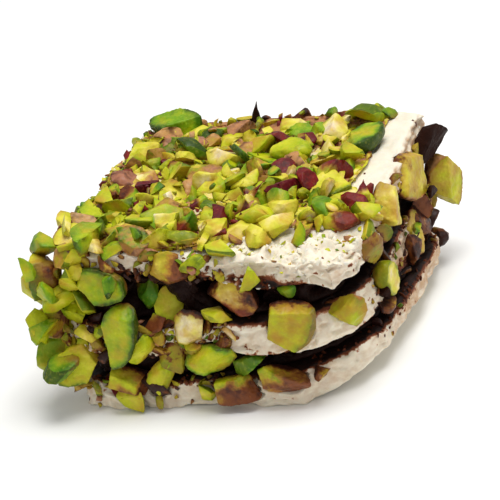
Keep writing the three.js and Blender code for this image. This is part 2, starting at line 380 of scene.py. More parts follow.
def browned_rim(p, start, left, right, fade):
    """1 along the top's back edge, where nuts fell off and it is browned, easing to 0 round it. All in mm."""
    return soft((p.y - start) / 2) * soft((right - p.x) / fade) * soft((p.x - left) / fade)


def mark_nougat(node, bm):
    """Paints how smeared (red), how dusted (green), and how stained and how side-shaded (blue) each point of
    a sheet is.
    """
    layer = bm.verts.layers.float_color.new("marks")
    bm.normal_update()
    for v in bm.verts:
        p = v.co / MM
        side = 1 - abs(v.normal.z)
        near = 1 - soft((cream_distance(v.co) - 0.2) / 3.2)
        patchy = 0.5 + 0.5 * noise.noise(p * 0.5 + Vector((3, 1, 4)))
        spots = soft((noise.noise(p * 0.8 + Vector((9, 2, 6))) - 0.4) * 4)
        smear = near * (0.55 + 0.6 * patchy) + 0.3 * soft((near - 0.45) * 3) + 0.6 * spots * side
        if node != "nougat_bottom" or v.normal.z > 0:
            smear += 0.5 * soft((near - 0.75) * 4) * (1 - side)
        right_end = soft((p.x - 14) / 5)
        # A caramel stain at the right-hand end, and on every upright face at least a lighter caramel tint as
        # painted shade.
        stain_and_side_shade = max(0.75 * right_end * soft((p.y + 12) / 8), 0.35) * side
        if node == "nougat_top":
            rim = browned_rim(p, 20.5, -12, 9, 4)
            stain_and_side_shade = max(stain_and_side_shade, rim)
            smear += 0.4 * rim + 0.25 * right_end * side
            dust = (0.3 * torn_share(v.co) + 0.2 * soft(0.5 + noise.noise(p * 0.6))) * soft(v.normal.z)
        else:
            dust = 0.0
        v[layer] = (min(1, smear), min(1, dust), min(1, stain_and_side_shade), 1)


def place_piece(mesh, material):
    """A piece made of a finished mesh, which rides on the block."""
    mesh.materials.append(material)
    piece = bpy.data.objects.new(mesh.name, mesh)
    scene.collection.objects.link(piece)
    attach(piece, "root")
    return piece


def finish_piece(name, bm, material):
    """Turns a bmesh, which is used up, into a smooth-shaded piece."""
    mesh = bpy.data.meshes.new(name)
    bm.normal_update()
    bm.to_mesh(mesh)
    bm.free()
    mesh.shade_smooth()
    return place_piece(mesh, material)


nougat_pieces = []
for node, seed, strength, droop in NOUGAT:
    low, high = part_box(node)
    bm = even_mesh(cad_copy(node), NOUGAT_VOXEL)
    tear_edges(bm, low, high, seed, strength, droop)
    if node == "nougat_top":
        crumble_top(bm)
    smooth_out(bm.verts, bm, 0.3, 1)
    keep_on_table(bm)
    mark_nougat(node, bm)
    piece = finish_piece(node + "_sheet", bm, nougat_material)
    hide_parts(node)
    nougat_pieces.append(piece)


# ---------------------------------------------------------------- the chocolate cream
# Two layers of very dark chocolate cream, moist and softly glossy, that hold the sheets together. The cream
# lies back from the nougat's edges in hollows, and deepest in a gap at the middle of the front.

CREAM_VOXEL = 0.42 * MM
HOLLOW_DEPTH = 2.6

# Each layer, with its noise seed, and where its deep gap starts and ends, as shares of half its width.
CREAM = [
    ("cream_lower", 5.0, -0.4, -0.1),
    ("cream_upper", 17.0, -0.14, 0.66),
]

cream_material, shader = new_material("chocolate_cream", 0.5, 0.12)
tree = cream_material.node_tree
place = add_node(tree, "ShaderNodeTexCoord").outputs["Object"]
moist = mix(tree, speckle(tree, place, 420.0), srgb(16, 6, 4), srgb(40, 16, 9))
dried = mix(tree, speckle(tree, place, 900.0), srgb(44, 16, 8), srgb(112, 56, 28))
marks = add_node(tree, "ShaderNodeAttribute", {"attribute_name": "marks"})
tree.links.new(mix(tree, marks.outputs["Fac"], moist, dried), shader.inputs["Base Color"])
roughen(tree, shader, speckle(tree, place, 1500.0, 6.0), 0.8, 0.4 * MM, 0.4, 0.7)

cream_pieces = []
for node, seed, gap_low, gap_high in CREAM:
    low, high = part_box(node)
    bm = even_mesh(cad_copy(node), CREAM_VOXEL)
    bm.normal_update()
    moves = []
    for v in bm.verts:
        p = v.co / MM + Vector((seed, seed, seed))
        side = 1 - abs(v.normal.z)
        across = v.co.x / high.x
        gap = soft((across - gap_low) / 0.2) * soft((gap_high - across) / 0.2) * (v.co.y < 0)
        corner = math.hypot(min(v.co.x - low.x, high.x - v.co.x), min(v.co.y - low.y, high.y - v.co.y))
        hollow = max(1.5 * gap, soft(0.4 + 1.6 * noise.noise(p * 0.13))) * soft((corner / MM - 2) / 5)
        flow = 0.5 * noise.noise(p * 0.33) - 0.2 - HOLLOW_DEPTH * hollow * side
        flow += 0.55 * noise.noise(p * 0.8) + 0.4 * noise.noise(p * 1.5)
        moves.append((v, v.normal * flow * (0.3 + 0.9 * side) * MM))
    for v, move in moves:
        v.co += move
    smooth_out(bm.verts, bm, 0.5, 1)
    piece = finish_piece(node + "_filling", bm, cream_material)
    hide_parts(node)
    cream_pieces.append(piece)


# ---------------------------------------------------------------- the large pistachio pieces
# Kernels chopped across or along, pressed into the sides and the top. Each follows its node in the frame,
# with more corners knocked off. Cut flesh is yellow inside and green at the rim, under green skin or coat.
# The parts of the side pieces that sink into the block are browned as painted shade.

KERNEL_VOXEL = 0.16 * MM
HALF_COATED = 0.42

# How much fuller each piece is than its node, since its corners are knocked off, and the one flatter piece.
FULLER = (1.18, 1.18, 1.18)
FLATTER = (1.1, 1.1, 0.92)

# A face is a knife cut if it is more than this share of the whole. A point lies on a cut if it is this near
# the cut's plane and faces nearly its way.
SMALLEST_CUT = 0.035
CUT_DEPTH = 0.3 * MM
CUT_LEAN = 0.35

nut_material, shader = new_material("pistachio", 0.5, 0.28)
tree = nut_material.node_tree
shader.inputs["Subsurface Weight"].default_value = 0.15
shader.inputs["Subsurface Radius"].default_value = (1.0, 0.9, 0.2)
shader.inputs["Subsurface Scale"].default_value = 0.5 * MM
place = add_node(tree, "ShaderNodeTexCoord").outputs["Object"]
nut = add_node(tree, "ShaderNodeAttribute", {"attribute_name": "nut"})
split = add_node(tree, "ShaderNodeSeparateColor", Color=nut.outputs["Color"])
tone, skin, smear, coat = split.outputs[0], split.outputs[1], split.outputs[2], nut.outputs["Alpha"]
drift = map_range(tree, speckle(tree, place, 480.0), 0.25, 0.75, -0.17, 0.17)
tone = add_node(tree, "ShaderNodeMath", {"operation": "ADD", "use_clamp": True}, _0=tone, _1=drift).outputs[0]
grains = speckle(tree, place, 2000.0, 6.0)
clouds = speckle(tree, place, 330.0, 3.0)
streaks = speckle(tree, place, 700.0, 5.0)


def colour_ramp(tree, factor, stops):
    """A ramp through the given (place, colour) stops."""
    ramp = add_node(tree, "ShaderNodeValToRGB", Fac=factor)
    ramp.color_ramp.elements[0].position = stops[0][0]
    ramp.color_ramp.elements[0].color = stops[0][1]
    ramp.color_ramp.elements[1].position = stops[-1][0]
    ramp.color_ramp.elements[1].color = stops[-1][1]
    for position, colour in stops[1:-1]:
        ramp.color_ramp.elements.new(position).color = colour
    return ramp.outputs["Color"]


flesh_colour = colour_ramp(tree, tone, [
    (0.0, srgb(64, 112, 4)), (0.18, srgb(116, 156, 6)), (0.38, srgb(174, 184, 10)),
    (0.56, srgb(196, 198, 26)), (0.76, srgb(226, 214, 76)), (0.88, srgb(240, 224, 138)),
    (1.0, srgb(244, 232, 196)),
])
skin_colour = colour_ramp(tree, tone, [
    (0.0, srgb(46, 72, 2)), (0.25, srgb(84, 108, 3)), (0.5, srgb(126, 138, 6)),
    (0.75, srgb(168, 154, 20)), (1.0, srgb(192, 162, 72)),
])
coat_colour = colour_ramp(tree, coat, [
    (0.0, srgb(204, 160, 96)), (0.25, srgb(186, 132, 82)), (0.45, srgb(182, 124, 96)),
    (0.62, srgb(118, 62, 26)), (0.8, srgb(122, 15, 18)), (1.0, srgb(94, 8, 20)),
])

# Cut flesh with golden patches, green skin round it, fine grain, and golden brown where cream rubbed off.
golden = combine(tree, "MULTIPLY", map_range(tree, clouds, 0.46, 0.7, 0.0, 0.72),
                 map_range(tree, tone, 0.08, 0.5, 0.15, 1.0))
colour = mix(tree, golden, flesh_colour, srgb(192, 134, 44))
colour = mix(tree, ragged(tree, place, skin, 800.0, 0.85, 1.25), colour, skin_colour)
colour = mix(tree, map_range(tree, grains, 0.25, 0.48, 0.12, 0.0), colour, srgb(96, 90, 8))
colour = mix(tree, map_range(tree, grains, 0.54, 0.8, 0.0, 0.25), colour, srgb(230, 222, 92))
browned = map_range(tree, ragged(tree, place, smear, 420.0, 0.62, 1.04), 0, 1, 0, 0.66)
colour = mix(tree, browned, colour, srgb(166, 110, 42))

# The papery coat, streaked and grained, with a golden fringe where it flaked off, and cream smeared over all.
has_coat = combine(tree, "GREATER_THAN", coat, 0.02)
fringe = combine(tree, "MULTIPLY", has_coat, ragged(tree, place, skin, 620.0, 0.94, 1.14))
colour = mix(tree, map_range(tree, fringe, 0, 1, 0, 0.6), colour, srgb(186, 118, 48))
coat_colour = mix(tree, map_range(tree, streaks, 0.34, 0.56, 0.8, 0.0), coat_colour, srgb(56, 16, 12))
coat_colour = mix(tree, map_range(tree, grains, 0.54, 0.78, 0.0, 0.35), coat_colour, srgb(176, 100, 44))
coat_mask = combine(tree, "MULTIPLY", has_coat, ragged(tree, place, skin, 620.0, 1.05, 1.35))
colour = mix(tree, coat_mask, colour, coat_colour)
colour = mix(tree, ragged(tree, place, smear, 560.0, 0.98, 1.12), colour, srgb(112, 60, 24))
colour = mix(tree, ragged(tree, place, smear, 560.0, 1.12, 1.28), colour, srgb(46, 16, 8))
tree.links.new(colour, shader.inputs["Base Color"])
roughen(tree, shader, grains, 0.5, 0.2 * MM, 0.36, 0.6)

# The sides of the block and two of its corners: the direction outwards, and two directions along each.
SLANT = math.sqrt(0.5)
SIDES = {
    "top": (Vector((0, 0, 1)), Vector((1, 0, 0)), Vector((0, 1, 0))),
    "front": (Vector((0, -1, 0)), Vector((1, 0, 0)), Vector((0, 0, 1))),
    "back": (Vector((0, 1, 0)), Vector((-1, 0, 0)), Vector((0, 0, 1))),
    "right": (Vector((1, 0, 0)), Vector((0, 1, 0)), Vector((0, 0, 1))),
    "left": (Vector((-1, 0, 0)), Vector((0, -1, 0)), Vector((0, 0, 1))),
    "front_left": (Vector((-SLANT, -SLANT, 0)), Vector((SLANT, -SLANT, 0)), Vector((0, 0, 1))),
    "back_right": (Vector((SLANT, SLANT, 0)), Vector((-SLANT, SLANT, 0)), Vector((0, 0, 1))),
}

# Each piece's tone, from deep green at 0 to pale yellow at 1, its coat, from tan through brown to dark red,
# or 0 for none, how much cream is smeared on it, and how many more corners are knocked off it. Other pieces
# get random looks. A coat above HALF_COATED covers one half of its piece, cuts and all.
LARGE_LOOKS = {
    "front_01": (0.14, 0, 0.15, 2), "front_02": (0.14, 0, 0.1, 2), "front_03": (0.34, 0, 0.15, 4),
    "front_04": (0.3, 0.61, 0.25, 4), "front_05": (0.28, 0.12, 0.15, 3), "front_06": (0.5, 0.6, 0.3, 4),
    "front_07": (0.74, 0, 0.2, 4), "front_08": (0.2, 0, 0.1, 3), "front_09": (0.64, 0.7, 0.38, 2),
    "front_10": (0.16, 0.62, 0.25, 4), "front_11": (0.26, 0, 0.34, 1), "front_12": (0.26, 0.61, 0.25, 4),
    "front_13": (0.24, 0.3, 0.24, 2), "right_01": (0.54, 0, 0.34, 3), "right_02": (0.5, 0.3, 0.36, 2),
    "right_03": (0.36, 0.2, 0.25, 3), "right_04": (0.66, 0, 0.1, 1), "right_05": (0.56, 0, 0.32, 2),
    "top_01": (0.44, 0, 0, 4), "top_02": (0.7, 0.45, 0, 4), "top_03": (0.0, 0, 0, 3),
    "top_04": (0.5, 0, 0, 4), "top_05": (0.1, 0, 0, 3),
    "left_01": (0.3, 0, 0.2, 4), "left_02": (0.4, 0.2, 0.2, 4),
}
block_middle = (cad_low + cad_high) / 2
block_half = (cad_high - cad_low) / 2


def random_look(rng, greenness):
    """A tone and a coat. Most are green to yellow with no coat, one in eight is dark, and a sixth are tan."""
    kind = rng.random()
    if kind < 0.13:
        coat = rng.uniform(0.6, 1.0)
    elif kind < 0.3:
        coat = rng.uniform(0.04, 0.5)
    else:
        coat = 0.0
    return rng.betavariate(2.4, greenness), coat


def reach_of(direction):
    """How far the block's box reaches from its middle along a direction."""
    return sum(abs(c) * half for c, half in zip(direction, block_half))


def outward_from(point):
    """The outward direction of the side that a point lies nearest to."""
    away = point - block_middle
    return max((side[0] for side in SIDES.values()), key=lambda o: away.dot(o) / reach_of(o))


def random_vector(rng):
    """A vector that points any way, and is about 1 to 2 long."""
    return Vector((rng.gauss(0, 1), rng.gauss(0, 1), rng.gauss(0, 1)))


def slice_off(bm, spot, facing):
    """Cuts a closed shape with a plane, closes the cut, and returns the new faces."""
    result = bmesh.ops.bisect_plane(bm, geom=bm.verts[:] + bm.edges[:] + bm.faces[:], dist=1e-7,
                                    plane_co=spot, plane_no=facing, clear_outer=True)
    rim = [e for e in result["geom_cut"] if isinstance(e, bmesh.types.BMEdge)]
    return bmesh.ops.edgeloop_fill(bm, edges=rim)["faces"] if rim else []


def flat_faces(bm):
    """The knife-cut faces of a chopped piece: those much larger than the facets of its round skin."""
    bmesh.ops.dissolve_limit(bm, angle_limit=math.radians(1), verts=bm.verts, edges=bm.edges)
    total = sum(f.calc_area() for f in bm.faces)
    large = [f for f in bm.faces if f.calc_area() > SMALLEST_CUT * total]
    return [(f.calc_center_median(), f.normal.copy()) for f in large]


def rim_distances(verts, on_cut):
    """How far each cut point lies from the kernel's skin, in mm, and 0 on the skin."""
    skin_points = [v.co for v, cut in zip(verts, on_cut) if not cut]
    tree = kdtree.KDTree(len(skin_points))
    for i, point in enumerate(skin_points):
        tree.insert(point, i)
    tree.balance()
    return [tree.find(v.co)[2] / MM if cut and skin_points else 0.0 for v, cut in zip(verts, on_cut)]


def middle_of(node):
    """The middle of a frame node's box."""
    low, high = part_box(node)
    return (low + high) / 2


def chop_large(node, rng, corners):
    """A large piece as a fine bmesh with more corners knocked off, and which of its points lie on cuts."""
    bm = cad_copy(node)
    bm.normal_update()
    centre = middle_of(node)
    growth = FLATTER if node == "pistachio_front_11" else FULLER
    bmesh.ops.scale(bm, vec=growth, space=Matrix.Translation(-centre), verts=bm.verts)
    cuts = flat_faces(bm.copy())
    for _ in range(corners):
        facing = (0.6 * outward_from(centre) + 0.9 * random_vector(rng)).normalized()
        reach = max((v.co - centre).dot(facing) for v in bm.verts)
        spot = centre + facing * reach * rng.uniform(0.4, 0.7)
        slice_off(bm, spot, facing)
        cuts.append((spot, facing))
    bm = even_mesh(bm, KERNEL_VOXEL)
    bm.normal_update()
    on_cut = [any(abs((v.co - spot).dot(facing)) < CUT_DEPTH and v.normal.dot(facing) > CUT_LEAN
                  for spot, facing in cuts) for v in bm.verts]
    smooth_out([v for v, cut in zip(bm.verts, on_cut) if not cut], bm, 0.5, 5)
    smooth_out(bm.verts, bm, 0.4, 1)
    bm.normal_update()
    return bm, on_cut


rng = random.Random(8)
large_pieces = []
for node in sorted(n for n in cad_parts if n.startswith("pistachio_") and n != "pistachio_crust"):
    any_look = random_look(rng, 2.9) + (rng.uniform(0.05, 0.45), rng.choice([1, 2, 3]))
    tone, coat, smear, corners = LARGE_LOOKS.get(node.removeprefix("pistachio_"), any_look)
    bm, on_cut = chop_large(node, rng, corners)
    layer = bm.verts.layers.float_color.new("nut")
    centre = middle_of(node)
    seed = rng.uniform(0, 40)
    dark_side = (Vector((0.5, 0, -0.7)) + 0.3 * random_vector(rng)).normalized()
    half_length = max((v.co - centre).length for v in bm.verts)
    outward = outward_from(centre)
    for v, own_cut, depth in zip(bm.verts, on_cut, rim_distances(bm.verts, on_cut)):
        p = v.co / MM + Vector((seed, seed, seed))
        away = v.co - centre
        near = 1 - soft((cream_distance(v.co) + 0.4) / 2.6)
        skin = 0.8 * (1 - soft(depth / 1.1)) if own_cut else 1.0
        if coat > HALF_COATED:
            skin = 0.62 + 0.9 * away.dot(dark_side) / half_length + 0.35 * noise.noise(p * 0.5)
        # Painted shade: the part of a side piece that sinks into the block is browned through the smear
        # number, on top of the real cream smear.
        buried = 0.4 * soft(0.4 - away.dot(outward) / half_length) if outward.z == 0 else 0.0
        smear_and_edge_shade = 0.5 * near + smear + buried
        v[layer] = (max(0, tone + 0.3 * soft(depth / 1.5) - 0.1), min(1, max(0, skin)), smear_and_edge_shade, coat)
        dent = 0.16 * noise.noise(p * 0.36) + 0.05 * noise.noise(p * 1.1) + 0.02 * noise.noise(p * 3.1)
        if own_cut:
            dent += 0.08 - 0.22 * abs(noise.noise(p * 0.6)) - 0.1 * abs(noise.noise(p * 1.7))
        v.co += v.normal * dent * MM
    keep_on_table(bm)
    piece = finish_piece(node + "_nut", bm, nut_material)
    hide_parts(node)
    large_pieces.append(piece)


# ---------------------------------------------------------------- the pressed coat on top
# Fine nut meal and crumbs pressed into the top sheet while it was soft, packed so close that only their bumps
# show. It sinks out of sight at the torn corner, and is browned and thin along the back edge.
# Its hollows are browned as painted shade.

CRUST_VOXEL = 0.32 * MM
TORN_SINK = 3.2
PALE_SHIFT = Vector((5, 5, 5))


def back_rim(p):
    """1 where the nuts lie thin along the top's back edge, at a point in mm, easing to 0 round it."""
    return browned_rim(p, 18.5, -11, 10, 3)


bm = even_mesh(cad_copy("pistachio_crust"), CRUST_VOXEL)
bm.normal_update()
layer = bm.verts.layers.float_color.new("nut")
for v in bm.verts:
    p = v.co / MM
    torn = torn_share(v.co)
    distances, points = noise.voronoi(p * 0.9)
    cell = noise.cell(points[0] * 3.7)
    fine = noise.voronoi(p * 1.9)[0]
    relief = 0.5 * (0.5 - distances[0]) + 0.25 * (0.4 - fine[0]) + 0.35 * (cell - 0.4)
    shade = 0.5 + 0.35 * cell + 0.3 * noise.noise(p * 0.4)
    pale = soft((noise.noise(p * 0.22 + PALE_SHIFT) - 0.05) * 3)
    coat = 0.3 + 0.6 * noise.noise(p * 0.9) if cell > 0.5 else 0.0
    rim = back_rim(p)
    coat += rim * (0.3 - coat)
    # Painted shade: the hollows between the bumps are browned through the smear number, the more the deeper
    # they lie.
    smear = 0.6 * soft((-0.05 - relief) * 3) * (1 - pale) * (1 - torn)
    v[layer] = (min(1, shade + 0.4 * pale), max(0.9 * (cell > 0.5), rim), smear, max(0, coat))
    v.co += v.normal * (relief - 0.8) * MM * max(0.0, v.normal.z)
    v.co.z -= TORN_SINK * torn * MM
crust_piece = finish_piece("pistachio_crust_coat", bm, nut_material)
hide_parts("pistachio_crust")


# ---------------------------------------------------------------- chopped pistachio, coarse to fine
# Fragments of chopped kernel, stuck to the top and sides. A small stock of fragments is cut from kernels by
# knife planes, and each kind is laid down in turn, largest first, on whatever lies under it.

# A whole kernel's half sizes, how far out in it a fragment's heart lies, and the angle above which a chopped
# edge is worn, in radians. Fragments with fewer triangles or less height for their length are slivers.
KERNEL = Vector((1.7, 1.0, 0.85))
HEART_DEPTH = 0.62
SHARP_ANGLE = 0.45
FEWEST_TRIANGLES = 10
THINNEST = 0.42
SKIN, WORN, CUT = 0, 1, 2

# A fragment: its points, at most 1 long and thinnest along Z, its triangles, how much each triangle is
# skin, how deep in the kernel each point lay, and which triangles are shaded smooth.
Fragment = namedtuple("Fragment", "points triangles skin depth smooth")


def split_long_edges(bm, longest):
    """Halves the edges above a length, and leaves triangles."""
    long_edges = [e for e in bm.edges if e.calc_length() > longest]
    bmesh.ops.subdivide_edges(bm, edges=long_edges, cuts=1)
    bmesh.ops.triangulate(bm, faces=bm.faces)


def as_arrays(bm):
    """The points and the triangles of a bmesh, which is used up."""
    bm.verts.index_update()
    points = np.array([v.co for v in bm.verts])
    triangles = np.array([[v.index for v in f.verts] for f in bm.faces])
    bm.free()
    return points, triangles


def as_fragment(bm, skin, depth, smooth):
    """A fragment made of a bmesh, which is used up."""
    points, triangles = as_arrays(bm)
    middle = (points.min(0) + points.max(0)) / 2
    points = (points - middle) / np.ptp(points, axis=0).max()
    order = np.argsort(-np.ptp(points, axis=0))
    if np.linalg.det(np.eye(3)[order]) < 0:
        points[:, 0] *= -1
    return Fragment(points[:, order], triangles, np.array(skin), np.array(depth), np.array(smooth))


def knife_planes(rng, cuts, reach):
    """The planes that chop one fragment off a kernel, as directions and distances from the fragment's heart.
    Just over half are slices across the kernel, split along its seam, and the rest are chopped anyhow."""
    planes = []
    if rng.random() < 0.55:
        lean = Vector((1, rng.uniform(-0.6, 0.6), rng.uniform(-0.4, 0.4))).normalized()
        seam = Vector((rng.uniform(-0.2, 0.2), rng.uniform(-0.4, 0.4), rng.choice([-1, 1]))).normalized()
        planes = [(lean, rng.uniform(*reach)), (-lean, rng.uniform(*reach)), (seam, rng.uniform(0.1, 0.35))]
    while len(planes) < cuts:
        planes.append((random_vector(rng).normalized(), rng.uniform(*reach)))
    return planes


def kernel_fragment(rng, cuts, reach, bevel, longest):
    """One fragment of a kernel. cuts lists how many knife planes may shape it, and reach is how far they lie
    from its heart. bevel is the width of its worn edges, and edges above longest are split, or both are 0."""
    bm = bmesh.new()
    bmesh.ops.create_icosphere(bm, subdivisions=2 if bevel else 1, radius=1)
    bmesh.ops.scale(bm, vec=KERNEL, verts=bm.verts)
    kind_layer = bm.faces.layers.int.new("kind")
    turn = rng.uniform(0, TAU)
    rise = rng.uniform(-0.6, 0.6)
    heart = HEART_DEPTH * Vector((KERNEL.x * math.cos(turn), KERNEL.y * math.sin(turn), KERNEL.z * rise))
    for facing, distance in knife_planes(rng, rng.choice(cuts), reach):
        for face in slice_off(bm, heart + facing * distance, facing):
            face[kind_layer] = CUT
    bmesh.ops.remove_doubles(bm, verts=bm.verts, dist=0.03)
    bm.normal_update()
    if bevel:
        sharp = [e for e in bm.edges if len(e.link_faces) == 2 and e.calc_face_angle(0) > SHARP_ANGLE]
        made = bmesh.ops.bevel(bm, geom=sharp, offset=bevel, offset_type="OFFSET", segments=1, profile=0.5,
                               affect="EDGES", material=-1, clamp_overlap=True)
        for face in made["faces"]:
            face[kind_layer] = WORN
    bmesh.ops.triangulate(bm, faces=bm.faces)
    if longest:
        for _ in range(3):
            split_long_edges(bm, longest)
        bm.normal_update()
        shift = Vector((rng.uniform(0, 50), 0, 0))
        for v in bm.verts:
            p = v.co + shift
            relief = 0.05 * noise.noise(p * 1.1) - 0.07 * abs(noise.noise(p * 1.9))
            relief += 0.03 * noise.noise(p * 5.1)
            v.co += v.normal * relief
    bmesh.ops.recalc_face_normals(bm, faces=bm.faces)
    skin = [float(f[kind_layer] == SKIN) for f in bm.faces]
    smooth = [f[kind_layer] != CUT or bool(longest) for f in bm.faces]
    rounded = [Vector((v.co.x / KERNEL.x, v.co.y / KERNEL.y, v.co.z / KERNEL.z)) for v in bm.verts]
    depth = [max(0.0, 1 - place.length) for place in rounded]
    return as_fragment(bm, skin, depth, smooth)


def chop_stock(seed, count, **knife):
    """A number of fragments to draw from, without the slivers."""
    rng = random.Random(seed)
    made = []
    while len(made) < count:
        fragment = kernel_fragment(rng, **knife)
        if len(fragment.triangles) > FEWEST_TRIANGLES and np.ptp(fragment.points[:, 2]) > THINNEST:
            made.append(fragment)
    return made


def joined_tree(pieces):
    """One tree for finding where rays meet any of some pieces."""
    bm = bmesh.new()
    for piece in pieces:
        bm.from_mesh(piece.data)
    return ray_tree(bm)


# Fragments are thrown from THROW_FROM off the block, spread a little wider than its box, up to THROWS_EACH
# times for each one wanted. They land above LOWEST, clear of the table, and hang over a sheet's edge by
# OVERHANG at most.
THROW_FROM = 0.06
SPREAD = 1.12
THROWS_EACH = 40
LOWEST = 0.6 * MM
TABLE_GAP = 0.05 * MM
OVERHANG = 0.7 * MM
NOWHERE = 99.0

# Coats above DARK_COAT are dark. The others let more or less of a fragment's green skin or tan coat show.
DARK_COAT = 0.55
GREEN_SKINS = [1, 0.7, 0.6, 0.4]
TAN_SKINS = [0.65, 0.55, 0.4, 0.2]

sheet_boxes = [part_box(node) for node, _, _, _ in NOUGAT]
sheets_low = np.min([np.array(low) for low, _ in sheet_boxes], axis=0)
sheets_high = np.max([np.array(high) for _, high in sheet_boxes], axis=0)
bare_sheets = joined_tree(nougat_pieces + [crust_piece])
landing = {"sheet": [bare_sheets], "cream": [joined_tree(cream_pieces)], "nut": [joined_tree(large_pieces)]}


def start_over(side, along, rise):
    """A point off one side of the block, over a place given as shares of half the block's size."""
    outward, across, upward = SIDES[side]
    start = block_middle + outward * THROW_FROM
    return start + across * along * reach_of(across) + upward * rise * reach_of(upward)


def land(origin, direction):
    """Where a thrown fragment first touches the block, or None: the point, the surface's direction, what it
    is, and how far it flew."""
    best = None
    for kind, trees in landing.items():
        for tree in trees:
            point, normal, _, distance = tree.ray_cast(origin, direction)
            if point is not None and (best is None or distance < best[3]):
                best = (point, normal, kind, distance)
    return best


def standing_out(point, outward):
    """How far a point stands out from the bare sheets under it, in mm, or NOWHERE where there are none."""
    hit = bare_sheets.ray_cast(point + outward * 12 * MM, -outward)[0]
    return NOWHERE if hit is None else (point - hit).dot(outward) / MM


def nut_cover(side, point):
    """How thickly the nuts lie at a point, from 0 to 1. They leave bare the strip along the top's right-hand
    edge, the torn corner, the foot of the front and right, and patches of the sides. Places are in mm."""
    p = (point - block_middle) / MM
    torn = torn_share(point)
    if side == "top":
        strip = soft((p.x - 14.2 + 1.6 * noise.noise(p * 0.3)) / 1.5) * soft((p.y + 6) / 3)
        return (1 - strip) * (1 - torn) * (1 - 0.75 * back_rim(p))
    height = (point.z - cad_low.z) / MM
    patchy = soft(0.62 + 0.9 * noise.noise(p * 0.16 + Vector((2, 5, 1))))
    if side == "front":
        cover = 1 - 0.6 * soft((p.x + 6) / 14)
        if height < 3.2 or height < 7 and p.x > 11:
            cover *= 0.12
        if height > 17 and p.x > 1:
            cover *= 0.25
        if height > 19 and p.x < -8:
            cover *= 0.35
        return cover * (0.5 + 0.5 * patchy) * (1 - torn)
    if side == "right":
        if height > 20 and p.y > 4:
            return 0.0
        return 0.03 if height < 7.5 else (0.4 + 0.6 * patchy) * (1 - torn)
    if side == "back" and height > 16 and p.x > 14:
        return 0.0
    return 0.85 * (0.4 + 0.6 * patchy)


def headroom(side, point):
    """How far a fragment may stand out from the sheets, in mm: less at the back and left of the top."""
    if side != "top":
        return 3.6
    p = (point - block_middle) / MM
    return 3.4 - 1.7 * soft((p.y - 13) / 6) - 1.1 * soft((-15 - p.x) / 3) * soft((p.y + 12) / 4)


def overhang(point):
    """How far a fragment may reach beyond the sheets: less along most of the top's left edge."""
    p = (point - block_middle) / MM
    return OVERHANG - 1.6 * MM * soft((p.y + 10) / 5) * soft((-10 - p.x) / 2) * soft((p.z - 5) / 2)


def lay_down(shape, point, facing, turn, size, stretch, sink):
    """A fragment's points where it lies: flat to the surface, turned, and sunk by a share of its height."""
    shaped = shape.points * np.array(stretch) * size
    basis = facing.to_track_quat("Z", "Y").to_matrix() @ Matrix.Rotation(turn, 3, "Z")
    return shaped @ np.array(basis).T + np.array(point + facing * np.ptp(shaped[:, 2]) * (0.5 - sink))


def nut_colours(shape, tone, coat, skin, smear):
    """The four numbers at each triangle's corners that the nut material reads: most smeared underneath."""
    corners = shape.points[shape.triangles]
    colours = np.empty(shape.triangles.shape + (4,), dtype=np.float32)
    colours[..., 0] = (tone + 0.45 * (shape.depth[shape.triangles] - 0.3)).clip(0, 1)
    if coat > DARK_COAT and skin < 1:
        colours[..., 1] = (0.62 + 1.5 * corners[..., 0]).clip(0, 1)
    elif coat > 0:
        colours[..., 1] = np.maximum(shape.skin[:, None], skin)
    else:
        colours[..., 1] = shape.skin[:, None] * skin
    colours[..., 2] = smear + 0.8 * (0.1 - corners[..., 2]).clip(0, 0.4)
    colours[..., 3] = coat
    return colours


def paint_nut(rng, shape, side, point):
    """A scattered fragment's numbers for the nut material: greener and more smeared at the sides."""
    tone, coat = random_look(rng, 2.6 if side == "top" else 4.2)
    smear = rng.uniform(0, 0.2)
    if side != "top":
        smear = rng.uniform(0.05, 0.65) + 0.4 * (1 - soft((cream_distance(point) - 0.2) / 3))
    skin = rng.choice(TAN_SKINS if 0 < coat <= DARK_COAT else GREEN_SKINS)
    return nut_colours(shape, tone, coat, skin, smear)


